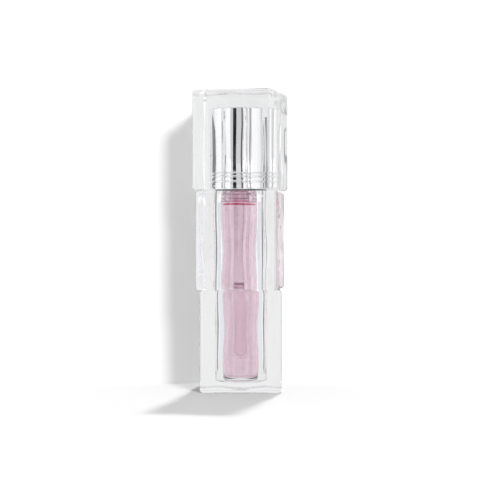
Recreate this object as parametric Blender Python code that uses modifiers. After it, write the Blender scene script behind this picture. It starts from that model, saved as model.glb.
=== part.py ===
"""Lip gloss tube: a clear square bottle in two twisted tiers, with a clear square cap twisted once more.

Units are metres, +Z is up, and the origin is the middle of the base. The bottle stands on z = 0. The cap
unscrews about the Z axis and then lifts off with its wand.
"""
import math

import bmesh
import bpy

MM = 0.001

# ---- driving dimensions ---------------------------------------------------------------------------------
TOTAL_HEIGHT = 80.0 * MM
BLOCK_SIDE = 21.6 * MM
CORNER_RADIUS = 1.2 * MM
RIM_RADIUS = 0.7 * MM
TIER_TWIST = math.radians(-7.0)

LOWER_TIER_TOP = 27.0 * MM
TIER_OVERLAP = 0.1 * MM
BOTTLE_TOP = 53.2 * MM
CAP_BOTTOM = 53.6 * MM

FIT = 0.15 * MM
FACE_GAP = 0.3 * MM

BOTTLE_FLOOR = 2.3 * MM
VIAL_RADIUS = 7.0 * MM
VIAL_WALL = 1.2 * MM
VIAL_FLOOR = 1.1 * MM
SHOULDER_TOP = 54.6 * MM
SHOULDER_CHAMFER = 0.6 * MM
CAVITY_TOP = 53.4 * MM
NECK_FUNNEL = 0.8 * MM
NECK_RADIUS = 5.2 * MM
NECK_BORE = 4.2 * MM
NECK_TOP = 62.4 * MM
GLOSS_TOP = 53.2 * MM

THREAD_LEAD = 2.4 * MM
THREAD_HEIGHT = 0.75 * MM
THREAD_ROOT_WIDTH = 0.9 * MM
THREAD_CREST_WIDTH = 0.4 * MM
THREAD_BITE = 0.3 * MM
NECK_THREAD_START = 56.0 * MM
NECK_THREAD_TURNS = 1.25
LINER_THREAD_TURNS = 1.0

WIPER_FLANGE_RADIUS = 5.1 * MM
WIPER_FLANGE = 0.8 * MM
WIPER_BOTTOM = 50.2 * MM
WIPER_WALL = 0.7 * MM
ORIFICE_RADIUS = 2.1 * MM
ORIFICE_LENGTH = 0.8 * MM
WIPER_OUTER_TAPER = 1.4 * MM
WIPER_INNER_TAPER = 2.2 * MM

SLEEVE_RADIUS = 7.6 * MM
SLEEVE_WALL = 0.3 * MM
SLEEVE_BOTTOM = 54.0 * MM
SLEEVE_TOP = 75.4 * MM
SLEEVE_RIM_RADIUS = 0.3 * MM
SLEEVE_GROOVES = (57.9 * MM, 57.0 * MM, 55.7 * MM)
GROOVE_DEPTH = 0.12 * MM
GROOVE_HALF_WIDTH = 0.15 * MM

LINER_BOTTOM = 55.0 * MM
LINER_TOP = 74.6 * MM
LINER_BORE = 6.25 * MM
LINER_ROOF = 63.8 * MM
LINER_WEB_TOP = 65.4 * MM
LINER_WALL = 1.1 * MM
SOCKET_WALL = 1.2 * MM
SOCKET_TOP = 73.4 * MM

STEM_RADIUS = 1.25 * MM
STEM_HEAD_RADIUS = 2.0 * MM
STEM_HEAD_BOTTOM = 66.6 * MM
STEM_HEAD_TOP = 73.1 * MM
STEM_COLLAR_RADIUS = 2.6 * MM
STEM_COLLAR_BOTTOM = 62.6 * MM
STEM_COLLAR_TOP = 63.5 * MM
STEM_COLLAR_TAPER = 0.8 * MM
STEM_END = 29.0 * MM
PIN_RADIUS = 0.6 * MM
PIN_END = 24.6 * MM

TIP_TOP = 28.8 * MM
TIP_END = 9.0 * MM
TIP_RADIUS = 1.5 * MM
TIP_NECK_RADIUS = 1.25 * MM
TIP_RINGS = (28.3 * MM, 27.3 * MM)
TIP_RING_DEPTH = 0.15 * MM
FLOCK_TOP = 26.4 * MM
FLOCK_SHOULDER = 0.8 * MM
TIP_NOSE = 2.4 * MM
SLANT_ANGLE = math.radians(7.0)
SLANT_END_OFFSET = 0.3 * MM

FILM_RADIUS = 1.9 * MM
FILM_INNER = 1.65 * MM
FILM_TOP = 24.0 * MM
FILM_BOTTOM = 8.2 * MM

ROUND_SIDES = 48
SLIM_SIDES = 24
MERGE_DISTANCE = 0.01 * MM

COLLECTION = "lip_gloss_tube"
CUTTERS = "cutters"


# ---- scene helpers --------------------------------------------------------------------------------------
def clear_scene():
    for obj in list(bpy.data.objects):
        bpy.data.objects.remove(obj, do_unlink=True)


def collection(name):
    found = bpy.data.collections.get(name)
    if found is None:
        found = bpy.data.collections.new(name)
        bpy.context.scene.collection.children.link(found)
    return found


def material(name, colour, roughness, metallic=0.0, transmission=0.0, ior=1.49):
    mat = bpy.data.materials.new(name)
    mat.use_nodes = True
    shader = mat.node_tree.nodes["Principled BSDF"]
    shader.inputs["Base Color"].default_value = (*colour, 1.0)
    shader.inputs["Roughness"].default_value = roughness
    shader.inputs["Metallic"].default_value = metallic
    shader.inputs["Transmission Weight"].default_value = transmission
    shader.inputs["IOR"].default_value = ior
    return mat


def add_object(name, mesh, mat=None, parent=None):
    obj = bpy.data.objects.new(name, mesh)
    if mat is None:
        collection(CUTTERS).objects.link(obj)
        obj.hide_render = True
        obj.display_type = "WIRE"
    else:
        collection(COLLECTION).objects.link(obj)
        obj.data.materials.append(mat)
    obj.parent = parent
    return obj


def empty(name):
    obj = bpy.data.objects.new(name, None)
    collection(COLLECTION).objects.link(obj)
    return obj


def combine(target, other, operation):
    modifier = target.modifiers.new(operation.lower() + "_" + other.name, "BOOLEAN")
    modifier.object = other
    modifier.operation = operation
    modifier.solver = "EXACT"


# ---- shapes ---------------------------------------------------------------------------------------------
def turned(name, outline, sides, mat=None, parent=None):
    """Turn an outline of (radius, height) points, given down the outer side, about the Z axis.

    An outline that starts and ends on the axis makes a solid; any other is closed into a ring.
    """
    mesh = bpy.data.meshes.new(name)
    points = [(radius, 0.0, height) for radius, height in outline]
    edges = [(i, i + 1) for i in range(len(points) - 1)]
    if outline[0][0] > 0.0:
        edges.append((len(points) - 1, 0))
    mesh.from_pydata(points, edges, [])
    obj = add_object(name, mesh, mat, parent)
    screw = obj.modifiers.new("turn", "SCREW")
    screw.axis = "Z"
    screw.angle = math.tau
    screw.steps = sides
    screw.render_steps = sides
    screw.use_merge_vertices = True
    screw.merge_threshold = MERGE_DISTANCE
    return obj


def square_tier(name, bottom, top, turn, mat=None, parent=None):
    """A square block with round corners and rounded rims, turned about the Z axis."""
    mesh = bpy.data.meshes.new(name)
    shape = bmesh.new()
    bmesh.ops.create_cube(shape, size=1.0)
    bmesh.ops.scale(shape, vec=(BLOCK_SIDE, BLOCK_SIDE, top - bottom), verts=shape.verts)
    bmesh.ops.translate(shape, vec=(0.0, 0.0, (top + bottom) / 2.0), verts=shape.verts)
    upright = [e for e in shape.edges if abs(e.verts[0].co.z - e.verts[1].co.z) > BLOCK_SIDE / 2.0]
    bmesh.ops.bevel(shape, geom=upright, offset=CORNER_RADIUS, segments=4, affect="EDGES", profile=0.5)
    shape.to_mesh(mesh)
    shape.free()
    obj = add_object(name, mesh, mat, parent)
    obj.rotation_euler.z = turn
    rim = obj.modifiers.new("rim", "BEVEL")
    rim.width = RIM_RADIUS
    rim.segments = 3
    rim.limit_method = "ANGLE"
    rim.angle_limit = math.radians(50.0)
    return obj


def thread_rib(name, root_radius, outward, start, turns, sides):
    """A right-hand helical rib, standing outward from root_radius (or inward where outward is -1)."""
    crest = root_radius + outward * THREAD_HEIGHT
    buried = root_radius - outward * THREAD_BITE
    half_root = THREAD_ROOT_WIDTH / 2.0
    half_crest = THREAD_CREST_WIDTH / 2.0
    section = [(buried, start + half_root), (root_radius, start + half_root), (crest, start + half_crest),
               (crest, start - half_crest), (root_radius, start - half_root), (buried, start - half_root)]
    flat = bpy.data.meshes.new(name)
    corners = len(section)
    flat.from_pydata([(r, 0.0, z) for r, z in section], [(i, (i + 1) % corners) for i in range(corners)], [])
    guide = add_object(name + "_guide", flat)
    screw = guide.modifiers.new("helix", "SCREW")
    screw.axis = "Z"
    screw.angle = math.tau * turns
    screw.screw_offset = THREAD_LEAD * turns
    screw.steps = round(sides * turns)
    screw.render_steps = screw.steps
    bpy.context.view_layer.update()
    helix = bpy.data.meshes.new_from_object(guide.evaluated_get(bpy.context.evaluated_depsgraph_get()))
    bpy.data.objects.remove(guide, do_unlink=True)
    shape = bmesh.new()
    shape.from_mesh(helix)
    bmesh.ops.holes_fill(shape, edges=[e for e in shape.edges if e.is_boundary], sides=corners)
    bmesh.ops.recalc_face_normals(shape, faces=shape.faces)
    shape.to_mesh(helix)
    shape.free()
    helix.name = name
    return add_object(name, helix)


def ring_grooves(radius, heights, depth, half_width):
    """Outline points for V grooves round a turned piece, from the highest to the lowest."""
    points = []
    for height in heights:
        points += [(radius, height + half_width), (radius - depth, height), (radius, height - half_width)]
    return points


# ---- the bottle -----------------------------------------------------------------------------------------
def bottle_block(parent):
    mat = material("clear_acrylic_bottle", (0.96, 0.97, 0.98), 0.03, transmission=1.0)
    lower = square_tier("bottle_block", 0.0, LOWER_TIER_TOP, 0.0, mat, parent)
    middle = square_tier("middle_tier", LOWER_TIER_TOP - TIER_OVERLAP, BOTTLE_TOP, TIER_TWIST)
    combine(lower, middle, "UNION")
    bore_radius = VIAL_RADIUS + FIT
    above = BOTTLE_TOP + FACE_GAP
    bore = turned("bottle_bore", [(0.0, above), (bore_radius, above), (bore_radius, BOTTLE_FLOOR),
                                  (0.0, BOTTLE_FLOOR)], ROUND_SIDES)
    combine(lower, bore, "DIFFERENCE")
    return lower


def inner_vial(parent):
    mat = material("clear_vial", (0.97, 0.97, 0.98), 0.04, transmission=1.0)
    base = BOTTLE_FLOOR + FACE_GAP
    inside = VIAL_RADIUS - VIAL_WALL
    vial = turned("inner_vial", [
        (NECK_BORE, NECK_TOP), (NECK_RADIUS, NECK_TOP), (NECK_RADIUS, SHOULDER_TOP),
        (VIAL_RADIUS - SHOULDER_CHAMFER, SHOULDER_TOP), (VIAL_RADIUS, SHOULDER_TOP - SHOULDER_CHAMFER),
        (VIAL_RADIUS, base + SHOULDER_CHAMFER), (VIAL_RADIUS - SHOULDER_CHAMFER, base), (0.0, base),
        (0.0, base + VIAL_FLOOR), (inside, base + VIAL_FLOOR), (inside, CAVITY_TOP),
        (NECK_BORE, CAVITY_TOP + NECK_FUNNEL)], ROUND_SIDES, mat, parent)
    rib = thread_rib("neck_thread", NECK_RADIUS, 1.0, NECK_THREAD_START, NECK_THREAD_TURNS, ROUND_SIDES)
    combine(vial, rib, "UNION")
    return vial


def wiper(parent):
    mat = material("wiper_polyethylene", (0.93, 0.94, 0.95), 0.35)
    tube = NECK_BORE - FIT
    inner = tube - WIPER_WALL
    seat = NECK_TOP + FIT
    lip_top = WIPER_BOTTOM + ORIFICE_LENGTH
    return turned("wiper", [
        (inner, seat + WIPER_FLANGE), (WIPER_FLANGE_RADIUS, seat + WIPER_FLANGE),
        (WIPER_FLANGE_RADIUS, seat), (tube, seat), (tube, lip_top + WIPER_OUTER_TAPER),
        (ORIFICE_RADIUS + WIPER_WALL, WIPER_BOTTOM), (ORIFICE_RADIUS, WIPER_BOTTOM),
        (ORIFICE_RADIUS, lip_top), (inner, lip_top + WIPER_INNER_TAPER)], SLIM_SIDES * 2, mat, parent)


def gloss_fill(parent):
    mat = material("pink_gloss", (0.76, 0.36, 0.52), 0.1, transmission=0.5, ior=1.47)
    floor = BOTTLE_FLOOR + FACE_GAP + VIAL_FLOOR + FIT
    outer = VIAL_RADIUS - VIAL_WALL - FIT
    well = FILM_RADIUS + FIT
    under_wiper = WIPER_BOTTOM - FACE_GAP
    round_wiper = NECK_BORE + FIT
    return turned("gloss_fill", [
        (well, under_wiper), (round_wiper, under_wiper), (round_wiper, GLOSS_TOP), (outer, GLOSS_TOP),
        (outer, floor), (0.0, floor), (0.0, FILM_BOTTOM - FIT), (well, FILM_BOTTOM - FIT)],
        ROUND_SIDES, mat, parent)


def gloss_film(parent):
    mat = material("pink_gloss_film", (0.78, 0.40, 0.55), 0.1, transmission=0.5, ior=1.47)
    wall = FILM_RADIUS - FILM_INNER
    return turned("gloss_film", [
        (FILM_INNER, FILM_TOP), (FILM_RADIUS, FILM_TOP), (FILM_RADIUS, FILM_BOTTOM + wall),
        (FILM_RADIUS - wall, FILM_BOTTOM), (0.0, FILM_BOTTOM), (0.0, FILM_BOTTOM + wall),
        (FILM_INNER, FILM_BOTTOM + 2.0 * wall)], SLIM_SIDES, mat, parent)


# ---- the cap --------------------------------------------------------------------------------------------
def cap_block(parent):
    mat = material("clear_acrylic_cap", (0.96, 0.97, 0.98), 0.03, transmission=1.0)
    block = square_tier("cap_block", CAP_BOTTOM, TOTAL_HEIGHT, 2.0 * TIER_TWIST, mat, parent)
    below = CAP_BOTTOM - FACE_GAP
    roof = SLEEVE_TOP + FIT
    bore = turned("cap_bore", [(0.0, roof), (SLEEVE_RADIUS + FIT, roof), (SLEEVE_RADIUS + FIT, below),
                               (0.0, below)], ROUND_SIDES)
    combine(block, bore, "DIFFERENCE")
    return block


def cap_sleeve(parent):
    mat = material("silver_sleeve", (0.90, 0.90, 0.91), 0.08, metallic=1.0)
    inside = SLEEVE_RADIUS - SLEEVE_WALL
    outline = [(0.0, SLEEVE_TOP), (SLEEVE_RADIUS - SLEEVE_RIM_RADIUS, SLEEVE_TOP),
               (SLEEVE_RADIUS, SLEEVE_TOP - SLEEVE_RIM_RADIUS)]
    outline += ring_grooves(SLEEVE_RADIUS, SLEEVE_GROOVES, GROOVE_DEPTH, GROOVE_HALF_WIDTH)
    outline += [(SLEEVE_RADIUS, SLEEVE_BOTTOM), (inside, SLEEVE_BOTTOM), (inside, SLEEVE_TOP - SLEEVE_WALL),
                (0.0, SLEEVE_TOP - SLEEVE_WALL)]
    return turned("cap_sleeve", outline, ROUND_SIDES, mat, parent)


def cap_liner(parent):
    mat = material("liner_polypropylene", (0.88, 0.89, 0.90), 0.4)
    outer = SLEEVE_RADIUS - SLEEVE_WALL - FIT
    pocket_outer = outer - LINER_WALL
    socket = STEM_HEAD_RADIUS + FIT
    boss = socket + SOCKET_WALL
    rod_hole = STEM_RADIUS + 3.0 * FIT
    liner = turned("cap_liner", [
        (pocket_outer, LINER_TOP), (outer, LINER_TOP), (outer, LINER_BOTTOM), (LINER_BORE, LINER_BOTTOM),
        (LINER_BORE, LINER_ROOF), (rod_hole, LINER_ROOF), (rod_hole, STEM_HEAD_BOTTOM - FIT),
        (socket, STEM_HEAD_BOTTOM - FIT), (socket, SOCKET_TOP), (boss, SOCKET_TOP),
        (boss, LINER_WEB_TOP), (pocket_outer, LINER_WEB_TOP)], ROUND_SIDES, mat, parent)
    start = NECK_THREAD_START + THREAD_LEAD / 2.0
    rib = thread_rib("liner_thread", LINER_BORE, -1.0, start, LINER_THREAD_TURNS, ROUND_SIDES)
    combine(liner, rib, "UNION")
    return liner


def wand_stem(parent):
    mat = material("wand_polypropylene", (0.85, 0.86, 0.88), 0.3)
    return turned("wand_stem", [
        (0.0, STEM_HEAD_TOP), (STEM_HEAD_RADIUS, STEM_HEAD_TOP), (STEM_HEAD_RADIUS, STEM_HEAD_BOTTOM),
        (STEM_RADIUS, STEM_HEAD_BOTTOM), (STEM_RADIUS, STEM_COLLAR_TOP), (STEM_COLLAR_RADIUS, STEM_COLLAR_TOP),
        (STEM_COLLAR_RADIUS, STEM_COLLAR_BOTTOM), (STEM_RADIUS, STEM_COLLAR_BOTTOM - STEM_COLLAR_TAPER),
        (STEM_RADIUS, STEM_END), (PIN_RADIUS, STEM_END), (PIN_RADIUS, PIN_END), (0.0, PIN_END)],
        SLIM_SIDES, mat, parent)


def applicator_tip(parent):
    mat = material("flocked_tip", (0.86, 0.62, 0.68), 0.9)
    hole = PIN_RADIUS + FIT
    outline = [(hole, TIP_TOP), (TIP_NECK_RADIUS, TIP_TOP)]
    outline += ring_grooves(TIP_NECK_RADIUS, TIP_RINGS, TIP_RING_DEPTH, TIP_RING_DEPTH)
    outline += [(TIP_NECK_RADIUS, FLOCK_TOP), (TIP_RADIUS, FLOCK_TOP - FLOCK_SHOULDER),
                (TIP_RADIUS, TIP_END + TIP_NOSE)]
    outline += [(TIP_RADIUS * math.cos(a), TIP_END + TIP_NOSE * (1.0 - math.sin(a)))
                for a in (math.radians(30.0), math.radians(60.0))]
    outline += [(0.0, TIP_END), (0.0, PIN_END - FACE_GAP), (hole, PIN_END - FACE_GAP)]
    tip = turned("applicator_tip", outline, SLIM_SIDES, mat, parent)
    slant = bpy.data.meshes.new("tip_slant")
    shape = bmesh.new()
    depth = 4.0 * TIP_RADIUS
    bmesh.ops.create_cube(shape, size=1.0)
    bmesh.ops.scale(shape, vec=(depth, depth, 20.0 * TIP_RADIUS), verts=shape.verts)
    bmesh.ops.translate(shape, vec=(0.0, -depth / 2.0, 0.0), verts=shape.verts)
    shape.to_mesh(slant)
    shape.free()
    cutter = add_object("tip_slant", slant)
    cutter.rotation_euler.x = SLANT_ANGLE
    cutter.location = (0.0, -SLANT_END_OFFSET, TIP_END)
    combine(tip, cutter, "DIFFERENCE")
    return tip


# ---- assembly -------------------------------------------------------------------------------------------
def main():
    clear_scene()
    bottle_axis = empty("bottle_axis")
    gloss_axis = empty("gloss_axis")
    cap_axis = empty("cap_axis")
    bottle_block(bottle_axis)
    inner_vial(bottle_axis)
    wiper(bottle_axis)
    gloss_fill(gloss_axis)
    gloss_film(gloss_axis)
    cap_block(cap_axis)
    cap_sleeve(cap_axis)
    cap_liner(cap_axis)
    wand_stem(cap_axis)
    applicator_tip(cap_axis)


main()
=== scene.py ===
"""The looks of the lip gloss tube: clear wavy blocks round a vial of sheer pink gloss, and a silver sleeve.

Units are metres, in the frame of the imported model. Heights come from the frame's boxes where they can.
"""
import math
import random
from collections import namedtuple

import bmesh
import bpy
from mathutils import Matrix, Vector


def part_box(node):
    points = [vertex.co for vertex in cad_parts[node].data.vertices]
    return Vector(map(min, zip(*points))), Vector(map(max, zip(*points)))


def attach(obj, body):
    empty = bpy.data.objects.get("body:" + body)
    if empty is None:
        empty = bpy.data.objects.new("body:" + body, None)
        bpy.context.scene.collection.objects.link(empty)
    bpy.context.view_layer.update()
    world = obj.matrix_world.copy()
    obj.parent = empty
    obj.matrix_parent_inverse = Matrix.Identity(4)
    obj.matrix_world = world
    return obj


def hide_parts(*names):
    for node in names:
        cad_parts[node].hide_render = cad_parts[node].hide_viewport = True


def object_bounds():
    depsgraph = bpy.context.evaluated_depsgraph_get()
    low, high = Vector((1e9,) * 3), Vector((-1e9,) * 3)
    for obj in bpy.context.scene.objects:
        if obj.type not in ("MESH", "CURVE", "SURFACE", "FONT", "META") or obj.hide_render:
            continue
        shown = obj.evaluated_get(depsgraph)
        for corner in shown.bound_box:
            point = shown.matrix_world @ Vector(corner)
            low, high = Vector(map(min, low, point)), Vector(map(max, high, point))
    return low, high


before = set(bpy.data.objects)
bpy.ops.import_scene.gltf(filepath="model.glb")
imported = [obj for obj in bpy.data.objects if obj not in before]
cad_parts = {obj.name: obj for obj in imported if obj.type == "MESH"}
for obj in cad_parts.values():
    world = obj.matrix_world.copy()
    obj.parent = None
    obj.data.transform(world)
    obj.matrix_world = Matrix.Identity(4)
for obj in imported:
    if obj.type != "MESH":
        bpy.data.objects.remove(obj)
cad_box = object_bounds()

MM = 0.001

# ---- sizes ----------------------------------------------------------------------------------------------
# the clear blocks
BLOCK_SIDE = 21.6 * MM
CORNER_RADIUS = 1.2 * MM
RIM_RADIUS = 0.7 * MM
WAIST_RIM_RADIUS = 0.95 * MM
TIER_TWIST = math.radians(-7.0)
LOWER_TIER_TOP = 27.0 * MM
TIER_OVERLAP = 0.1 * MM
WAVE_ACROSS = 14.0 * MM

# between the pieces
FIT = 0.15 * MM
SLEEVE_SINK = 0.2 * MM
SLEEVE_WALL = 0.3 * MM

# from the frame
BOTTLE_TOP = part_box("bottle_block")[1].z
CAP_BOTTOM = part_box("cap_block")[0].z
CAP_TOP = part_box("cap_block")[1].z
VIAL_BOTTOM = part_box("inner_vial")[0].z
VIAL_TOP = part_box("inner_vial")[1].z
VIAL_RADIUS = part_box("inner_vial")[1].x
SLEEVE_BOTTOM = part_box("cap_sleeve")[0].z
SLEEVE_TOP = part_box("cap_sleeve")[1].z
SLEEVE_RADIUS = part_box("cap_sleeve")[1].x
GLOSS_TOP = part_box("gloss_fill")[1].z
WIPER_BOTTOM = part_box("wiper")[0].z
GLOSS_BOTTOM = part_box("gloss_fill")[0].z

# the vial
VIAL_WALL = 1.2 * MM
CAVITY_BOTTOM = VIAL_BOTTOM + 1.1 * MM
CAVITY_TOP = 53.4 * MM
NECK_RADIUS = 5.2 * MM
NECK_BORE = 4.2 * MM
SHOULDER_TOP = 54.6 * MM
VIAL_RINGS = (52.2 * MM, 51.2 * MM, 50.4 * MM)
VIAL_RING_DEPTH = 0.1 * MM
VIAL_RING_HALF = 0.16 * MM

# the thread
THREAD_LEAD = 2.4 * MM
THREAD_START = 56.0 * MM

# the wiper, the ring under it and the gloss
WIPER_ORIFICE = 2.1 * MM
GLOSS_OVERLAP = 0.02 * MM
WIPER_GAP = 0.05 * MM
RING_DROP = 0.35 * MM
RING_HEIGHT = 0.4 * MM
RING_WIDTH = 0.3 * MM
FLAKES = 4200

# the sleeve and the inner cap
SLEEVE_GROOVES = (57.9 * MM, 57.0 * MM, 55.7 * MM)
GROOVE_HALF = 0.26 * MM
GROOVE_DEPTH = 0.26 * MM
LINER_BORE = 6.25 * MM
LINER_ROOF = 63.8 * MM
LINER_WEB = 65.4 * MM
SOCKET_RADIUS = 2.15 * MM
SOCKET_FLOOR = 66.45 * MM
SOCKET_TOP = 73.4 * MM

# the wand and its tip
STEM_RADIUS = 1.25 * MM
STEM_TENON = 0.6 * MM
HEAD_RADIUS = 2.0 * MM
HEAD_BOTTOM = SOCKET_FLOOR + FIT
COLLAR_RADIUS = 2.6 * MM
COLLAR_TOP = 63.5 * MM
COLLAR_BOTTOM = 62.6 * MM
TIP_TOP = 29.0 * MM
TIP_RADIUS = 1.5 * MM
TIP_FULL = 25.8 * MM
TIP_SLANT = math.radians(7.0)
SLANT_TOP = 25.0 * MM
TIP_FLAT = 0.3 * MM
TIP_FLAT_CROWN = 0.12
TENON_FLOOR = 24.3 * MM
NECK_RINGS = (27.3 * MM, 28.3 * MM)
NECK_RING_DEPTH = 0.15 * MM
COAT_WALL = 0.25 * MM

# how fine the meshes are
ROUND_SIDES = 128
GRID = 0.45 * MM

# the set
SET_HALF = 1.5
FLOOR = -0.05 * MM
WALL = cad_box[1][1] + 1.0 * MM
WALL_HEIGHT = 1.2
GLOW_REACH = 120.0 * MM
# the lowest edge of the painted wall shade behind the cap
CAP_SHADES_LOW = 55.0 * MM


# ---- mesh helpers ---------------------------------------------------------------------------------------
def mesh_object(name, verts, faces, mat, sharp_angle=35.0):
    mesh = bpy.data.meshes.new(name)
    mesh.from_pydata(verts, [], faces)
    mesh.validate()
    obj = bpy.data.objects.new(name, mesh)
    bpy.context.scene.collection.objects.link(obj)
    if mat is not None:
        mesh.materials.append(mat)
    smooth(obj, sharp_angle)
    return obj


def smooth(obj, sharp_angle):
    mesh = obj.data
    mesh.shade_smooth()
    mesh.set_sharp_from_angle(angle=math.radians(sharp_angle))


def filleted(corners, segments=6):
    """An outline of (r, z) points from (r, z, fillet radius) corners, each rounded by an arc."""
    points = []
    count = len(corners)
    for i, (r, z, radius) in enumerate(corners):
        here = Vector((r, z))
        if radius <= 0.0:
            points.append((r, z))
            continue
        before = Vector(corners[i - 1][:2])
        after = Vector(corners[(i + 1) % count][:2])
        a = (before - here).normalized()
        b = (after - here).normalized()
        half = math.acos(max(-1.0, min(1.0, a.dot(b)))) / 2.0
        reach = radius / math.tan(half)
        centre = here + (a + b).normalized() * (radius / math.sin(half))
        start = here + a * reach - centre
        end = here + b * reach - centre
        sweep = start.angle_signed(end)
        for k in range(segments + 1):
            turn = -sweep * k / segments
            c, s = math.cos(turn), math.sin(turn)
            points.append((centre.x + start.x * c - start.y * s, centre.y + start.x * s + start.y * c))
    return points


def ended_on_axis(outline):
    """The same closed outline, begun just after its first point on the axis."""
    axis = next(i for i, point in enumerate(outline) if point[0] <= 0.0)
    return outline[axis + 1:] + outline[:axis + 1]


def turned(name, outline, mat, sides=ROUND_SIDES, sharp_angle=35.0):
    """Turn an outline of (radius, height) points about Z.

    The outline runs down its outer side. A point on the axis closes the shape there.
    """
    on_axis = outline[0][0] <= 0.0
    verts, rings = [], []
    for r, z in outline:
        if r <= 0.0:
            rings.append([len(verts)] * sides)
            verts.append((0.0, 0.0, z))
        else:
            rings.append(list(range(len(verts), len(verts) + sides)))
            verts += [(r * math.cos(math.tau * k / sides), r * math.sin(math.tau * k / sides), z)
                      for k in range(sides)]
    faces = []
    pairs = list(zip(rings, rings[1:])) + ([] if on_axis else [(rings[-1], rings[0])])
    for upper, lower in pairs:
        for k in range(sides):
            nxt = (k + 1) % sides
            corner = [upper[k], lower[k], lower[nxt], upper[nxt]]
            face = [v for i, v in enumerate(corner) if v not in corner[:i]]
            if len(face) > 2:
                faces.append(face)
    return mesh_object(name, verts, faces, mat, sharp_angle)


def modified(obj, operation, other):
    """Apply a Boolean of obj with other, and remove other."""
    modifier = obj.modifiers.new(operation, "BOOLEAN")
    modifier.object = other
    modifier.operation = operation
    modifier.solver = "EXACT"
    bpy.context.view_layer.update()
    mesh = bpy.data.meshes.new_from_object(obj.evaluated_get(bpy.context.evaluated_depsgraph_get()))
    obj.modifiers.clear()
    obj.data = mesh
    bpy.data.objects.remove(other, do_unlink=True)
    return obj


# ---- the wavy square blocks -----------------------------------------------------------------------------
def square_section():
    """Points round a square with round corners: (x, y, normal x, normal y, place along its side, side)."""
    flat = BLOCK_SIDE / 2.0 - CORNER_RADIUS
    steps = round(2.0 * flat / GRID)
    arc_steps = 10
    section = []
    for side in range(4):
        angle = side * math.pi / 2.0
        c, s = math.cos(angle), math.sin(angle)
        local = [(-flat + 2.0 * flat * k / steps, -BLOCK_SIDE / 2.0, 0.0, -1.0) for k in range(steps)]
        for k in range(arc_steps):
            turn = math.pi / 2.0 * k / arc_steps
            nx, ny = math.sin(turn), -math.cos(turn)
            local.append((flat + CORNER_RADIUS * nx, -flat + CORNER_RADIUS * ny, nx, ny))
        for x, y, nx, ny in local:
            along = max(-1.0, min(1.0, x / (BLOCK_SIDE / 2.0)))
            section.append((c * x - s * y, s * x + c * y, c * nx - s * ny, s * nx + c * ny, along, side))
    return section


Hollow = namedtuple("Hollow", "side place middle half_width half_length depth")


class Ripple:
    """The gentle waves and thumb-like hollows moulded in a tier's side faces.

    They add a height along the face's normal. Places along a side run from -1 to 1.
    """

    def __init__(self, depth, dent, length, phases, slopes, hollows=()):
        self.depth, self.dent, self.length = depth, dent, length
        self.phases, self.slopes, self.hollows = phases, slopes, hollows

    def height(self, along, side, z):
        s = along * BLOCK_SIDE / 2.0
        fade = max(0.0, 1.0 - (s / (BLOCK_SIDE / 2.0 - CORNER_RADIUS)) ** 6)
        wave = math.cos(math.tau * (z - self.dent) / self.length + self.phases[side])
        lens = -math.cos(math.tau * s / WAVE_ACROSS)
        lean = self.slopes[side] * math.sin(math.pi * along)
        height = self.depth * fade * (lens * wave + lean)
        for hollow in self.hollows:
            if hollow.side == side:
                across = (along - hollow.place) / hollow.half_width
                up = (z - hollow.middle) / hollow.half_length
                height -= hollow.depth * max(0.0, 1.0 - (across ** 2 + up ** 2))
        return height


def tier(name, bottom, top, turn, ripple, mat, low_rim=RIM_RADIUS, high_rim=RIM_RADIUS):
    """A wavy square block with round corners and rims, closed at both ends by flat faces."""
    section = square_section()
    rim_steps = 7
    fill_steps = 10
    rings = [(low_rim, bottom, (k + 1) / (fill_steps + 1)) for k in range(fill_steps)]
    for k in range(rim_steps + 1):
        a = math.pi / 2.0 * k / rim_steps
        rings.append((low_rim * (1.0 - math.sin(a)), bottom + low_rim * (1.0 - math.cos(a)), 1.0))
    span = top - bottom - low_rim - high_rim
    steps = round(span / GRID)
    rings += [(0.0, bottom + low_rim + span * k / steps, 1.0) for k in range(1, steps)]
    for k in range(rim_steps, -1, -1):
        a = math.pi / 2.0 * k / rim_steps
        rings.append((high_rim * (1.0 - math.sin(a)), top - high_rim * (1.0 - math.cos(a)), 1.0))
    rings += [(high_rim, top, 1.0 - (k + 1) / (fill_steps + 1)) for k in range(fill_steps)]
    c, s = math.cos(turn), math.sin(turn)
    verts = [(0.0, 0.0, bottom)]
    for inset, z, share in rings:
        for x, y, nx, ny, along, side in section:
            out = ripple.height(along, side, z) - inset
            px, py = (x + nx * out) * share, (y + ny * out) * share
            verts.append((c * px - s * py, s * px + c * py, z))
    verts.append((0.0, 0.0, top))
    count = len(section)
    faces = [(0, 1 + (k + 1) % count, 1 + k) for k in range(count)]
    for r in range(len(rings) - 1):
        low, high = 1 + r * count, 1 + (r + 1) * count
        for k in range(count):
            nxt = (k + 1) % count
            faces.append((low + k, low + nxt, high + nxt, high + k))
    last = 1 + (len(rings) - 1) * count
    faces += [(last + k, last + (k + 1) % count, len(verts) - 1) for k in range(count)]
    return mesh_object(name, verts, faces, mat, 40.0)


# ---- materials ------------------------------------------------------------------------------------------
def new_material(name):
    mat = bpy.data.materials.new(name)
    mat.use_nodes = True
    nt = mat.node_tree
    nt.nodes.clear()
    out = nt.nodes.new("ShaderNodeOutputMaterial")
    return mat, nt, out


def node(nt, kind, **inputs):
    made = nt.nodes.new(kind)
    for key, value in inputs.items():
        made.inputs[key.replace("_", " ")].default_value = value
    return made


def noise(nt, scale, detail=2.0, stretch=(1.0, 1.0, 1.0)):
    where = nt.nodes.new("ShaderNodeTexCoord")
    mapping = nt.nodes.new("ShaderNodeMapping")
    mapping.inputs["Scale"].default_value = stretch
    made = node(nt, "ShaderNodeTexNoise", Scale=scale, Detail=detail)
    nt.links.new(where.outputs["Object"], mapping.inputs["Vector"])
    nt.links.new(mapping.outputs["Vector"], made.inputs["Vector"])
    return made.outputs["Fac"]


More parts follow.
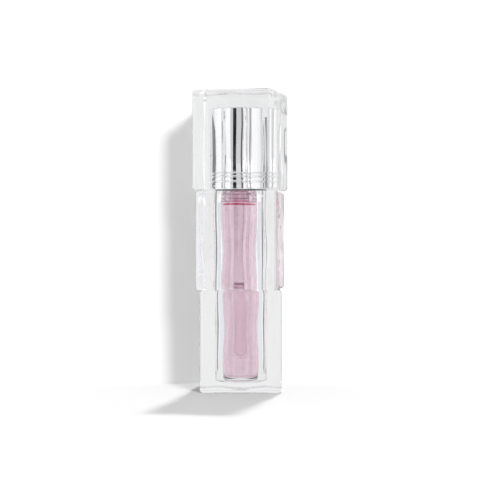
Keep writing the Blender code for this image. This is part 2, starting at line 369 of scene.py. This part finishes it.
def ranged(nt, source, low, high):
    made = nt.nodes.new("ShaderNodeMapRange")
    made.inputs["To Min"].default_value = low
    made.inputs["To Max"].default_value = high
    nt.links.new(source, made.inputs["Value"])
    return made.outputs["Result"]


def ramped(nt, source, stops):
    made = nt.nodes.new("ShaderNodeValToRGB")
    ramp = made.color_ramp
    while len(ramp.elements) < len(stops):
        ramp.elements.new(0.5)
    for element, (place, colour) in zip(ramp.elements, stops):
        element.position = place
        element.color = (*colour, 1.0)
    nt.links.new(source, made.inputs["Fac"])
    return made.outputs["Color"]


def height_share(nt, low, high):
    """How far up a piece stands between two heights, from 0 to 1."""
    where = nt.nodes.new("ShaderNodeTexCoord")
    split = nt.nodes.new("ShaderNodeSeparateXYZ")
    made = node(nt, "ShaderNodeMapRange", From_Min=low, From_Max=high)
    nt.links.new(where.outputs["Object"], split.inputs["Vector"])
    nt.links.new(split.outputs["Z"], made.inputs["Value"])
    return made.outputs["Result"]


def mixed(nt, share, plain, accent):
    made = nt.nodes.new("ShaderNodeMix")
    made.data_type = "RGBA"
    nt.links.new(share, made.inputs["Factor"])
    nt.links.new(plain, made.inputs[6])
    made.inputs[7].default_value = (*accent, 1.0)
    return made.outputs[2]


def bumped(nt, source, strength, distance):
    made = node(nt, "ShaderNodeBump", Strength=strength, Distance=distance)
    nt.links.new(source, made.inputs["Height"])
    return made.outputs["Normal"]


def clear_plastic(name, tint, ior):
    """Polished clear plastic: a trace of haze and handling marks over a faintly uneven moulded surface."""
    mat, nt, out = new_material(name)
    shader = node(nt, "ShaderNodeBsdfPrincipled", Base_Color=(*tint, 1.0), Transmission_Weight=1.0,
                  IOR=ior)
    nt.links.new(ranged(nt, noise(nt, 260.0, 4.0), 0.0, 0.025), shader.inputs["Roughness"])
    nt.links.new(bumped(nt, noise(nt, 140.0), 0.08, 0.05 * MM), shader.inputs["Normal"])
    nt.links.new(shader.outputs["BSDF"], out.inputs["Surface"])
    return mat


def gloss_material(name):
    """Sheer pink liquid: clear, tinted by its depth."""
    mat, nt, out = new_material(name)
    shader = node(nt, "ShaderNodeBsdfPrincipled", Base_Color=(0.93, 0.74, 0.80, 1.0),
                  Transmission_Weight=1.0, IOR=1.47, Roughness=0.0)
    depth = node(nt, "ShaderNodeVolumeAbsorption", Color=(0.60, 0.25, 0.50, 1.0), Density=15.0)
    nt.links.new(depth.outputs["Volume"], out.inputs["Volume"])
    nt.links.new(shader.outputs["BSDF"], out.inputs["Surface"])
    return mat


def shimmer_material(name):
    """Pearl flakes: each has its own pale tint between lavender, pink and gold."""
    mat, nt, out = new_material(name)
    shader = node(nt, "ShaderNodeBsdfPrincipled", Metallic=0.5, Roughness=0.5)
    geometry = nt.nodes.new("ShaderNodeNewGeometry")
    tint = ramped(nt, geometry.outputs["Random Per Island"], [
        (0.0, (0.60, 0.48, 0.98)), (0.3, (0.95, 0.60, 0.80)), (0.5, (1.0, 0.84, 0.50)),
        (0.75, (0.62, 0.25, 0.50)), (1.0, (1.0, 0.97, 0.99))])
    nt.links.new(tint, shader.inputs["Base Color"])
    clear = nt.nodes.new("ShaderNodeBsdfTransparent")
    nt.links.new(tint, clear.inputs["Color"])
    mix = node(nt, "ShaderNodeMixShader", Fac=0.5)
    nt.links.new(clear.outputs["BSDF"], mix.inputs[1])
    nt.links.new(shader.outputs["BSDF"], mix.inputs[2])
    nt.links.new(mix.outputs["Shader"], out.inputs["Surface"])
    return mat


def silver_material(name):
    """Mirror-bright silver with a trace of polishing marks round the sleeve."""
    mat, nt, out = new_material(name)
    shader = node(nt, "ShaderNodeBsdfPrincipled", Base_Color=(0.93, 0.93, 0.94, 1.0), Metallic=1.0)
    marks = noise(nt, 400.0, 3.0, (1.0, 1.0, 12.0))
    nt.links.new(ranged(nt, marks, 0.02, 0.07), shader.inputs["Roughness"])
    nt.links.new(bumped(nt, noise(nt, 90.0), 0.05, 0.05 * MM), shader.inputs["Normal"])
    nt.links.new(shader.outputs["BSDF"], out.inputs["Surface"])
    return mat


def see_through(nt, out, shader, tint, cover):
    """Let the light that the shader doesn't cover go straight on, with a tint."""
    clear = node(nt, "ShaderNodeBsdfTransparent", Color=(*tint, 1.0))
    mix = node(nt, "ShaderNodeMixShader", Fac=cover)
    nt.links.new(clear.outputs["BSDF"], mix.inputs[1])
    nt.links.new(shader.outputs["BSDF"], mix.inputs[2])
    nt.links.new(mix.outputs["Shader"], out.inputs["Surface"])


def moulded_plastic(name, dark, light, rough, through=0.0, ior=1.5, cover=1.0):
    """Moulded plastic: small shade and gloss changes, and a fine orange peel."""
    mat, nt, out = new_material(name)
    shader = node(nt, "ShaderNodeBsdfPrincipled", Transmission_Weight=through, IOR=ior)
    tint = ramped(nt, noise(nt, 300.0, 3.0), [(0.3, dark), (0.7, light)])
    peel = ranged(nt, noise(nt, 900.0, 3.0), rough - 0.06, rough + 0.06)
    nt.links.new(tint, shader.inputs["Base Color"])
    nt.links.new(peel, shader.inputs["Roughness"])
    nt.links.new(bumped(nt, noise(nt, 1600.0), 0.15, 0.02 * MM), shader.inputs["Normal"])
    see_through(nt, out, shader, (1.0, 1.0, 1.0), cover)
    return mat


def flock_material(name):
    """Short dense flock, wet with gloss: mottled pink, with painted shade as dark rings in the grooves of
    its neck.
    """
    mat, nt, out = new_material(name)
    shader = node(nt, "ShaderNodeBsdfPrincipled", Roughness=0.3, Transmission_Weight=1.0, IOR=1.06)
    tint = ramped(nt, noise(nt, 2500.0, 4.0), [(0.3, (0.97, 0.86, 0.91)), (0.7, (0.99, 0.93, 0.97))])
    # Painted shade: dark rings in the grooves of the neck.
    low, high = TIP_TOP - 2.5 * MM, TIP_TOP
    off, on = (0.0, 0.0, 0.0), (1.0, 1.0, 1.0)
    stops = [(0.0, off)]
    for z in NECK_RINGS:
        place = (z - low) / (high - low)
        stops += [(place - 0.07, off), (place - 0.05, on), (place + 0.05, on), (place + 0.07, off)]
    rings = ramped(nt, height_share(nt, low, high), stops)
    nt.links.new(mixed(nt, rings, tint, (0.30, 0.03, 0.18)), shader.inputs["Base Color"])
    nt.links.new(bumped(nt, noise(nt, 9000.0, 3.0), 0.9, 0.06 * MM), shader.inputs["Normal"])
    see_through(nt, out, shader, (1.0, 1.0, 1.0), 0.65)
    return mat


def wiper_material(name):
    """Natural polyethylene, see-through when wet, with gloss round its lower lip."""
    mat, nt, out = new_material(name)
    shader = node(nt, "ShaderNodeBsdfPrincipled", Roughness=0.25, Transmission_Weight=1.0, IOR=1.2)
    tint = ramped(nt, noise(nt, 300.0, 3.0), [(0.3, (0.97, 0.94, 0.96)), (0.7, (1.0, 0.98, 0.99))])
    lip = ramped(nt, height_share(nt, WIPER_BOTTOM, WIPER_BOTTOM + 1.0 * MM), [
        (0.0, (1.0, 1.0, 1.0)), (0.4, (1.0, 1.0, 1.0)), (0.6, (0.0, 0.0, 0.0))])
    nt.links.new(mixed(nt, lip, tint, (0.75, 0.25, 0.42)), shader.inputs["Base Color"])
    see_through(nt, out, shader, (1.0, 1.0, 1.0), 0.4)
    return mat


def coat_material(name):
    """The thin coat of gloss on the applicator: a wet see-through pink skin."""
    mat, nt, out = new_material(name)
    shader = node(nt, "ShaderNodeBsdfPrincipled", Roughness=0.06, Transmission_Weight=1.0, IOR=1.05)
    tint = ramped(nt, noise(nt, 700.0, 3.0), [(0.3, (0.97, 0.86, 0.92)), (0.7, (0.99, 0.93, 0.96))])
    nt.links.new(tint, shader.inputs["Base Color"])
    see_through(nt, out, shader, (1.0, 1.0, 1.0), 0.4)
    return mat


def ring_material(name):
    """Deep pink, partly clear and mottled a little: painted shade for the dark line under the wiper."""
    mat, nt, out = new_material(name)
    shader = node(nt, "ShaderNodeBsdfPrincipled", Roughness=0.1, Transmission_Weight=1.0, IOR=1.05)
    # Painted shade: this deep pink stands for the dark line under the wiper.
    tint = ramped(nt, noise(nt, 1200.0, 3.0), [(0.3, (0.80, 0.08, 0.38)), (0.7, (0.88, 0.18, 0.50))])
    nt.links.new(tint, shader.inputs["Base Color"])
    see_through(nt, out, shader, (0.85, 0.14, 0.46), 0.6)
    return mat


# ---- pieces ---------------------------------------------------------------------------------------------
def place(piece, body, cad_node, slot):
    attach(piece, body)
    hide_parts(cad_node)
    return piece


def bottle_glass():
    mat = clear_plastic("bottle_acrylic", (0.985, 0.99, 0.995), 1.49)
    lower_ripple = Ripple(
        depth=0.16 * MM, dent=16.6 * MM, length=17.0 * MM,
        phases=(0.0, 1.6, 0.7, 2.6), slopes=(0.5, 0.4, -0.4, 0.5))
    upper_ripple = Ripple(
        depth=0.18 * MM, dent=37.4 * MM, length=20.5 * MM,
        phases=(0.0, 2.1, 1.2, 0.5), slopes=(0.5, -0.4, 0.5, -0.5),
        hollows=(Hollow(1, -0.1, 42.0 * MM, 0.7, 7.0 * MM, 0.25 * MM),
                 Hollow(3, 0.0, 40.0 * MM, 0.7, 12.0 * MM, 0.14 * MM)))
    lower = tier("bottle_glass", 0.0, LOWER_TIER_TOP, 0.0, lower_ripple, mat, high_rim=WAIST_RIM_RADIUS)
    upper = tier("upper_tier", LOWER_TIER_TOP - TIER_OVERLAP, BOTTLE_TOP, TIER_TWIST, upper_ripple, mat,
                 low_rim=WAIST_RIM_RADIUS)
    modified(lower, "UNION", upper)
    floor = VIAL_BOTTOM - 0.3 * MM
    above = BOTTLE_TOP + 1.0 * MM
    radius = VIAL_RADIUS + FIT
    outline = filleted([
        (0.0, above, 0.0), (radius, above, 0.0), (radius, floor, 0.8 * MM), (0.0, floor, 0.0)])
    modified(lower, "DIFFERENCE", turned("bottle_bore", outline, None))
    smooth(lower, 32.0)
    return place(lower, "bottle", "bottle_block", "clear_bottle")


def cap_glass():
    mat = clear_plastic("cap_acrylic", (0.985, 0.99, 0.995), 1.49)
    ripple = Ripple(
        depth=0.08 * MM, dent=62.5 * MM, length=21.0 * MM,
        phases=(0.0, 1.9, 0.9, 2.8), slopes=(-0.4, 0.5, 0.5, -0.6),
        hollows=(Hollow(3, 0.2, 68.5 * MM, 0.56, 6.8 * MM, 0.5 * MM),
                 Hollow(1, 0.2, 66.0 * MM, 0.6, 7.5 * MM, 0.45 * MM)))
    block = tier("cap_glass", CAP_BOTTOM, CAP_TOP, 2.0 * TIER_TWIST, ripple, mat)
    below = CAP_BOTTOM - 1.0 * MM
    roof = SLEEVE_TOP - SLEEVE_SINK
    radius = SLEEVE_RADIUS - SLEEVE_SINK
    outline = filleted([
        (0.0, roof, 0.0), (radius, roof, 0.5 * MM), (radius, below, 0.0), (0.0, below, 0.0)])
    modified(block, "DIFFERENCE", turned("cap_bore", outline, None))
    smooth(block, 32.0)
    return place(block, "cap", "cap_block", "clear_cap")


def thread_rib(name, root_radius, outward, start, turns, mat):
    """A right-hand helical rib that runs out to nothing at both ends."""
    height, bite, half_root, half_crest = 0.75 * MM, 0.3 * MM, 0.45 * MM, 0.2 * MM
    steps = round(ROUND_SIDES * turns)
    fade = steps // 8
    verts = []
    for k in range(steps + 1):
        rise = max(0.04, min(1.0, k / fade, (steps - k) / fade))
        crest = root_radius + outward * height * rise
        crest_half = half_crest * rise + half_root * (1.0 - rise) * 0.5
        buried = root_radius - outward * bite
        angle = math.tau * turns * k / steps
        z = start + THREAD_LEAD * turns * k / steps
        for r, dz in ((buried, half_root), (root_radius, half_root), (crest, crest_half),
                      (crest, -crest_half), (root_radius, -half_root), (buried, -half_root)):
            verts.append((r * math.cos(angle), r * math.sin(angle), z + dz))
    faces = [(0, 1, 2, 3, 4, 5), tuple(6 * steps + i for i in (5, 4, 3, 2, 1, 0))]
    for k in range(steps):
        for i in range(6):
            j = (i + 1) % 6
            faces.append((6 * k + j, 6 * k + i, 6 * (k + 1) + i, 6 * (k + 1) + j))
    obj = mesh_object(name, verts, faces, mat)
    shape = bmesh.new()
    shape.from_mesh(obj.data)
    bmesh.ops.recalc_face_normals(shape, faces=shape.faces)
    shape.to_mesh(obj.data)
    shape.free()
    return obj


def vial_glass():
    mat = clear_plastic("vial_clear", (0.99, 0.99, 0.995), 1.49)
    inside = VIAL_RADIUS - VIAL_WALL
    body = VIAL_RADIUS - 0.05 * MM
    rim = 0.25 * MM
    corners = [
        (NECK_BORE, VIAL_TOP, rim), (NECK_RADIUS, VIAL_TOP, rim), (NECK_RADIUS, SHOULDER_TOP, 0.3 * MM),
        (VIAL_RADIUS - 0.3 * MM, SHOULDER_TOP, 0.2 * MM), (body, SHOULDER_TOP - 0.3 * MM, 0.1 * MM)]
    for z in VIAL_RINGS:
        corners += [
            (VIAL_RADIUS, z + VIAL_RING_HALF, 0.04 * MM), (VIAL_RADIUS - VIAL_RING_DEPTH, z, 0.04 * MM),
            (VIAL_RADIUS, z - VIAL_RING_HALF, 0.04 * MM)]
    corners += [
        (body, VIAL_BOTTOM, 0.9 * MM), (0.0, VIAL_BOTTOM, 0.0), (0.0, CAVITY_BOTTOM, 0.0),
        (inside, CAVITY_BOTTOM, 0.7 * MM), (inside, CAVITY_TOP, 0.6 * MM),
        (NECK_BORE, CAVITY_TOP + 0.8 * MM, 0.4 * MM)]
    vial = turned("vial_glass", ended_on_axis(filleted(corners)), mat)
    rib = thread_rib("neck_thread", NECK_RADIUS, 1.0, THREAD_START, 1.25, mat)
    modified(vial, "UNION", rib)
    smooth(vial, 32.0)
    return place(vial, "bottle", "inner_vial", "clear_vial")


def gloss_column():
    mat = gloss_material("pink_gloss")
    inside = VIAL_RADIUS - VIAL_WALL + GLOSS_OVERLAP
    floor = CAVITY_BOTTOM - GLOSS_OVERLAP
    round_wiper = NECK_BORE - WIPER_GAP
    under_wiper = WIPER_BOTTOM - WIPER_GAP
    outline = filleted([
        (0.0, under_wiper, 0.0), (round_wiper, under_wiper, 0.1 * MM), (round_wiper, GLOSS_TOP, 0.1 * MM),
        (inside, GLOSS_TOP, 0.3 * MM), (inside, floor, 0.7 * MM), (0.0, floor, 0.0)])
    column = turned("gloss_column", outline, mat)
    return place(column, "gloss", "gloss_fill", "gloss")


def gloss_shimmer():
    """Fine pearl flakes hang all through the gloss. Each is a flat closed crystal with six faces."""
    mat = shimmer_material("pearl_flakes")
    rng = random.Random(7)
    inside = VIAL_RADIUS - VIAL_WALL - 0.2 * MM
    verts, faces = [], []
    for _ in range(FLAKES):
        angle = rng.uniform(0.0, math.tau)
        reach = inside * math.sqrt(rng.uniform(0.08, 1.0))
        centre = Vector((reach * math.cos(angle), reach * math.sin(angle),
                         rng.uniform(GLOSS_BOTTOM + 0.3 * MM, WIPER_BOTTOM - 0.3 * MM)))
        u = Vector((rng.gauss(0, 1), rng.gauss(0, 1), rng.gauss(0, 1))).normalized()
        v = u.orthogonal().normalized()
        w = u.cross(v)
        size = (0.07 + 0.08 * rng.random() ** 2) * MM
        first = len(verts)
        verts += [centre + v * size * math.cos(a) + w * size * math.sin(a)
                  for a in (0.0, math.tau / 3.0, 2.0 * math.tau / 3.0)]
        verts += [centre + u * size * 0.2, centre - u * size * 0.2]
        for i in range(3):
            j = (i + 1) % 3
            faces.append((first + i, first + j, first + 3))
            faces.append((first + j, first + i, first + 4))
    flakes = mesh_object("gloss_shimmer", verts, faces, mat)
    flakes.data.shade_flat()
    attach(flakes, "gloss")
    return flakes


def wiper_plug():
    mat = wiper_material("wiper_ldpe")
    lo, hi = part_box("wiper")
    tube = NECK_BORE - FIT
    wall = 0.7 * MM
    inner = tube - wall
    lip = WIPER_ORIFICE + wall
    flange = hi.x
    seat = hi.z - 0.8 * MM
    outline = filleted([
        (inner, hi.z, 0.2 * MM), (flange, hi.z, 0.2 * MM), (flange, seat, 0.15 * MM), (tube, seat, 0.1 * MM),
        (tube, lo.z + 2.2 * MM, 0.4 * MM), (lip, lo.z, 0.2 * MM), (WIPER_ORIFICE, lo.z, 0.2 * MM),
        (WIPER_ORIFICE, lo.z + 0.8 * MM, 0.3 * MM), (inner, lo.z + 3.0 * MM, 0.5 * MM)])
    return place(turned("wiper_plug", outline, mat), "bottle", "wiper", "wiper")


def wiper_ring():
    """A deep pink ring that hangs under the wiper, deeper in colour than the gloss: painted shade for the
    dark line seen there.
    """
    inner, outer = NECK_BORE - RING_WIDTH, NECK_BORE
    high = WIPER_BOTTOM - RING_DROP
    low = high - RING_HEIGHT
    outline = filleted([(inner, high, 0.05 * MM), (outer, high, 0.05 * MM), (outer, low, 0.05 * MM),
                        (inner, low, 0.05 * MM)])
    ring = turned("wiper_ring", outline, ring_material("wiper_line_shade"))
    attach(ring, "bottle")
    return ring


def silver_sleeve():
    mat = silver_material("polished_silver")
    inside = SLEEVE_RADIUS - SLEEVE_WALL
    corners = [(0.0, SLEEVE_TOP, 0.0), (SLEEVE_RADIUS, SLEEVE_TOP, 0.35 * MM)]
    for z in SLEEVE_GROOVES:
        corners += [
            (SLEEVE_RADIUS, z + GROOVE_HALF, 0.08 * MM), (SLEEVE_RADIUS - GROOVE_DEPTH, z, 0.08 * MM),
            (SLEEVE_RADIUS, z - GROOVE_HALF, 0.08 * MM)]
    corners += [
        (SLEEVE_RADIUS, SLEEVE_BOTTOM, 0.1 * MM), (inside, SLEEVE_BOTTOM, 0.1 * MM),
        (inside, SLEEVE_TOP - SLEEVE_WALL, 0.2 * MM), (0.0, SLEEVE_TOP - SLEEVE_WALL, 0.0)]
    sleeve = turned("silver_sleeve", filleted(corners, 4), mat)
    return place(sleeve, "cap", "cap_sleeve", "silver_sleeve")


def inner_cap():
    mat = moulded_plastic("liner_pp", (0.80, 0.81, 0.83), (0.90, 0.90, 0.92), rough=0.4)
    lo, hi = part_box("cap_liner")
    outer = SLEEVE_RADIUS - SLEEVE_WALL - FIT
    upper = LINER_BORE - 0.2 * MM
    boss = SOCKET_RADIUS + 1.2 * MM
    hole = 1.7 * MM
    r = 0.2 * MM
    outline = filleted([
        (upper, hi.z, r), (outer, hi.z, r), (outer, lo.z, r), (LINER_BORE, lo.z, 0.3 * MM),
        (LINER_BORE, LINER_ROOF, 0.4 * MM), (hole, LINER_ROOF, r), (hole, SOCKET_FLOOR, 0.0),
        (SOCKET_RADIUS, SOCKET_FLOOR, 0.0), (SOCKET_RADIUS, SOCKET_TOP, r), (boss, SOCKET_TOP, r),
        (boss, LINER_WEB, 0.4 * MM), (upper, LINER_WEB, 0.4 * MM)])
    liner = turned("inner_cap", outline, mat)
    rib = thread_rib("inner_cap_thread", LINER_BORE, -1.0, THREAD_START + THREAD_LEAD / 2.0, 1.0, mat)
    modified(liner, "UNION", rib)
    smooth(liner, 32.0)
    return place(liner, "cap", "cap_liner", "cap_liner")


def wand():
    mat = moulded_plastic("wand_clear", (0.94, 0.92, 0.95), (0.98, 0.96, 0.99), rough=0.1,
                          through=1.0, ior=1.08, cover=0.6)
    lo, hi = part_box("wand_stem")
    outline = filleted([
        (0.0, hi.z, 0.0), (HEAD_RADIUS, hi.z, 0.3 * MM), (HEAD_RADIUS, HEAD_BOTTOM, 0.1 * MM),
        (STEM_RADIUS, HEAD_BOTTOM, 0.0), (STEM_RADIUS, COLLAR_TOP, 0.1 * MM),
        (COLLAR_RADIUS, COLLAR_TOP, 0.2 * MM), (COLLAR_RADIUS, COLLAR_BOTTOM, 0.2 * MM),
        (STEM_RADIUS, COLLAR_BOTTOM - 0.8 * MM, 0.4 * MM), (STEM_RADIUS, TIP_TOP, 0.1 * MM),
        (STEM_TENON, TIP_TOP, 0.0), (STEM_TENON, lo.z, 0.2 * MM), (0.0, lo.z, 0.0)])
    return place(turned("wand_rod", outline, mat, 64), "cap", "wand_stem", "wand")


def flocked_tip():
    """A slanted doe foot: round where it joins the rod, and cut to a long flat."""
    mat = flock_material("wet_flock")
    lo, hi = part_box("applicator_tip")
    neck = STEM_RADIUS
    hole = STEM_TENON + FIT
    corners = [(hole, hi.z, 0.0), (neck, hi.z, 0.1 * MM)]
    for z in NECK_RINGS:
        corners += [
            (neck, z + NECK_RING_DEPTH, 0.05 * MM), (neck - NECK_RING_DEPTH, z, 0.05 * MM),
            (neck, z - NECK_RING_DEPTH, 0.05 * MM)]
    corners += [
        (neck, TIP_FULL + 0.6 * MM, 0.1 * MM), (TIP_RADIUS, TIP_FULL, 0.4 * MM),
        (TIP_RADIUS, lo.z, 1.4 * MM), (0.0, lo.z, 0.0), (0.0, TENON_FLOOR, 0.0), (hole, TENON_FLOOR, 0.0)]
    tip = turned("flocked_tip", ended_on_axis(filleted(corners, 8)), mat, 96, 50.0)
    shape = bmesh.new()
    shape.from_mesh(tip.data)
    long = [e for e in shape.edges
            if abs(e.verts[0].co.z - e.verts[1].co.z) > 2.0 * MM
            and min(e.verts[0].co.z, e.verts[1].co.z) < SLANT_TOP
            and e.verts[0].co.xy.length > 1.0 * MM]
    bmesh.ops.subdivide_edges(shape, edges=long, cuts=60, use_grid_fill=True)
    for v in shape.verts:
        on_hole_floor = v.co.xy.length < 0.2 * MM and v.co.z > lo.z + 1.0 * MM
        if v.co.z > SLANT_TOP or on_hole_floor:
            continue
        limit = -TIP_FLAT - (v.co.z - lo.z) * math.tan(TIP_SLANT)
        if v.co.y < limit:
            v.co.y = limit + (v.co.y - limit) * TIP_FLAT_CROWN
    shape.to_mesh(tip.data)
    shape.free()
    return place(tip, "cap", "applicator_tip", "flocked_tip")


def gloss_coat():
    mat = coat_material("wet_gloss_coat")
    lo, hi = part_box("gloss_film")
    outer, inner = hi.x, hi.x - COAT_WALL
    outline = filleted([
        (inner, hi.z, 0.08 * MM), (outer - 0.1 * MM, hi.z, 0.1 * MM), (outer, hi.z - 5.0 * MM, 2.0 * MM),
        (outer, lo.z, 1.5 * MM), (0.0, lo.z, 0.0), (0.0, lo.z + COAT_WALL, 0.0),
        (inner, lo.z + COAT_WALL, 1.2 * MM)])
    coat = turned("gloss_coat", ended_on_axis(outline), mat, 64)
    return place(coat, "gloss_coat", "gloss_film", "gloss_film")


# ---- the set --------------------------------------------------------------------------------------------
def stage_material(name, glow, reflect, one_sided, tint=(1.0, 1.0, 1.0)):
    mat, nt, out = new_material(name)
    diffuse = node(nt, "ShaderNodeBsdfDiffuse", Color=(reflect, reflect, reflect, 1.0))
    light = node(nt, "ShaderNodeEmission", Color=(*tint, 1.0), Strength=glow)
    both = nt.nodes.new("ShaderNodeAddShader")
    nt.links.new(diffuse.outputs["BSDF"], both.inputs[0])
    nt.links.new(light.outputs["Emission"], both.inputs[1])
    shader = both.outputs["Shader"]
    if one_sided:
        geometry = nt.nodes.new("ShaderNodeNewGeometry")
        clear = nt.nodes.new("ShaderNodeBsdfTransparent")
        mix = nt.nodes.new("ShaderNodeMixShader")
        nt.links.new(geometry.outputs["Backfacing"], mix.inputs["Fac"])
        nt.links.new(shader, mix.inputs[1])
        nt.links.new(clear.outputs["BSDF"], mix.inputs[2])
        shader = mix.outputs["Shader"]
    nt.links.new(shader, out.inputs["Surface"])
    return mat


def sheet(name, corners, mat):
    obj = mesh_object(name, corners, [(0, 1, 2, 3)], mat)
    return obj


def glow_sheet(name, corners, mat):
    """A lit sheet that only shows in reflections and through clear pieces."""
    obj = sheet(name, corners, mat)
    obj.visible_camera = False
    obj.visible_shadow = False
    obj.visible_diffuse = False
    return obj


def lit_backdrop_material():
    """A glowing sheet for the lit paper: dimmer and even behind the object, dipping to a darker band just
    beside it, and brighter out to the sides.
    """
    mat = stage_material("lit_backdrop", 1.0, 0.0, True)
    nt = mat.node_tree
    light = next(n for n in nt.nodes if n.type == "EMISSION")
    where = nt.nodes.new("ShaderNodeTexCoord")
    split = nt.nodes.new("ShaderNodeSeparateXYZ")
    side = nt.nodes.new("ShaderNodeMath")
    side.operation = "ABSOLUTE"
    share = nt.nodes.new("ShaderNodeMath")
    share.operation = "MULTIPLY"
    share.inputs[1].default_value = 1.0 / GLOW_REACH
    nt.links.new(where.outputs["Object"], split.inputs["Vector"])
    nt.links.new(split.outputs["X"], side.inputs[0])
    nt.links.new(side.outputs["Value"], share.inputs[0])
    # Painted shade: the glow is dimmer behind the object and dips to a darker band just beside it.
    glow = ramped(nt, share.outputs["Value"], [
        (0.0, (0.86, 0.86, 0.86)), (0.16, (0.86, 0.86, 0.86)), (0.22, (0.75, 0.75, 0.76)),
        (0.4, (1.0, 1.0, 1.0))])
    nt.links.new(glow, light.inputs["Color"])
    return mat


def upright(x0, y0, x1, y1, low, high):
    """The corners of an upright sheet over the line from (x0, y0) to (x1, y1)."""
    return [(x0, y0, low), (x1, y1, low), (x1, y1, high), (x0, y0, high)]


def card(name, azimuth, distance, half_width, height, mat):
    """An upright card that faces the object. Its azimuth is counted from the camera's side, to the right."""
    a = math.radians(azimuth)
    x, y = distance * math.sin(a), -distance * math.cos(a)
    dx, dy = half_width * math.cos(a), half_width * math.sin(a)
    glow_sheet(name, upright(x - dx, y - dy, x + dx, y + dy, 0.0, height), mat)


def floor_and_wall():
    ground = [(-SET_HALF, -SET_HALF, FLOOR), (SET_HALF, -SET_HALF, FLOOR),
              (SET_HALF, SET_HALF, FLOOR), (-SET_HALF, SET_HALF, FLOOR)]
    floor = sheet("floor", ground, stage_material("pale_floor", 0.12, 0.35, False))
    floor.visible_glossy = False
    floor.visible_transmission = False
    glow_sheet("floor_glow", ground, stage_material("lit_floor", 0.82, 0.0, False))
    corners = upright(-SET_HALF, WALL, SET_HALF, WALL, 0.0, WALL_HEIGHT)
    wall = sheet("backdrop", corners, stage_material("pale_backdrop", 0.36, 0.35, True))
    wall.visible_shadow = False
    wall.visible_glossy = False
    wall.visible_transmission = False
    glow_sheet("backdrop_glow", corners, lit_backdrop_material())


def wall_shade_patches():
    """Grey glowing patches just before the wall, seen only in reflections and through clear pieces: painted
    shade on the wall. They make the dark lines in the clear blocks' edges.
    """
    grey = stage_material("painted_wall_shade", 0.24, 0.0, True)
    y = WALL - 0.5 * MM
    # Painted shade on the wall behind and beside the cap.
    for name, x0, x1, top in (
            ("cap_shade_left", -60.0 * MM, -18.0 * MM, 79.0 * MM),
            ("cap_shade_right", 5.5 * MM, 10.0 * MM, 74.0 * MM)):
        glow_sheet(name, upright(x0, y, x1, y, CAP_SHADES_LOW, top), grey)
    for side in (-1.0, 1.0):
        for name, near, far in (("edge_shade", 10.8 * MM, 13.0 * MM), ("side_shade", 20.0 * MM, 29.0 * MM)):
            x0, x1 = sorted((side * near, side * far))
            glow_sheet(name, upright(x0, y, x1, y, 0.0, 53.0 * MM), grey)


def cards_and_lights():
    black = stage_material("flag_black", 0.01, 0.0, False)
    for name, azimuth, half_width in (("flag_left", -18.0, 90.0 * MM), ("flag_right", 29.0, 45.0 * MM)):
        card(name, azimuth, 500.0 * MM, half_width, 350.0 * MM, black)
    strip = stage_material("strip_light", 2.4, 0.0, False)
    for name, azimuth in (("strip_left", -50.0), ("strip_right", 47.0)):
        card(name, azimuth, 200.0 * MM, 12.0 * MM, 60.0 * MM, strip)
    violet = stage_material("side_violet", 0.86, 0.0, False, (0.92, 0.94, 1.0))
    for name, x in (("side_tint_left", -50.0 * MM), ("side_tint_right", 50.0 * MM)):
        glow_sheet(name, upright(x, -10.0 * MM, x, WALL, 0.0, 52.0 * MM), violet)
    white = stage_material("softbox_white", 1.1, 0.0, False)
    for name, x in (("softbox_left", -300.0 * MM), ("softbox_right", 300.0 * MM)):
        glow_sheet(name, upright(x, -300.0 * MM, x, WALL, 0.0, 500.0 * MM), white)


def suns():
    for name, direction, strength, spread in (
            ("key", (-0.42, 1.0, -0.5), 4.8, 11.0), ("back_key", (-0.12, -0.58, -1.0), 3.8, 4.0)):
        data = bpy.data.lights.new(name, "SUN")
        data.energy = strength
        data.angle = math.radians(spread)
        data.cycles.use_multiple_importance_sampling = False
        light = bpy.data.objects.new(name, data)
        light.rotation_euler = Vector(direction).to_track_quat("-Z", "Y").to_euler()
        bpy.context.scene.collection.objects.link(light)


def surroundings():
    """A white room, brighter where it is seen than in the light that it gives."""
    world = bpy.data.worlds.new("studio")
    world.use_nodes = True
    nt = world.node_tree
    path = nt.nodes.new("ShaderNodeLightPath")
    shade = node(nt, "ShaderNodeMapRange", To_Min=0.68, To_Max=0.92)
    nt.links.new(path.outputs["Is Camera Ray"], shade.inputs["Value"])
    nt.links.new(shade.outputs["Result"], nt.nodes["Background"].inputs["Strength"])
    nt.nodes["Background"].inputs["Color"].default_value = (1.0, 1.0, 1.0, 1.0)
    bpy.context.scene.world = world


def camera():
    data = bpy.data.cameras.new("camera")
    data.lens = 105.0
    data.sensor_width = 36.0
    obj = bpy.data.objects.new("camera", data)
    obj.location = (-0.2 * MM, -378.5 * MM, 40.2 * MM)
    obj.rotation_euler = (math.radians(90.0), 0.0, 0.0)
    bpy.context.scene.collection.objects.link(obj)
    bpy.context.scene.camera = obj


def light_paths():
    scene = bpy.context.scene
    scene.view_settings.view_transform = "Standard"
    scene.cycles.max_bounces = 32
    scene.cycles.glossy_bounces = 16
    scene.cycles.transmission_bounces = 28
    scene.cycles.transparent_max_bounces = 24


camera()
bottle_glass()
vial_glass()
wiper_plug()
wiper_ring()
gloss_column()
gloss_shimmer()
gloss_coat()
cap_glass()
silver_sleeve()
inner_cap()
wand()
flocked_tip()
floor_and_wall()
wall_shade_patches()
cards_and_lights()
suns()
surroundings()
light_paths()
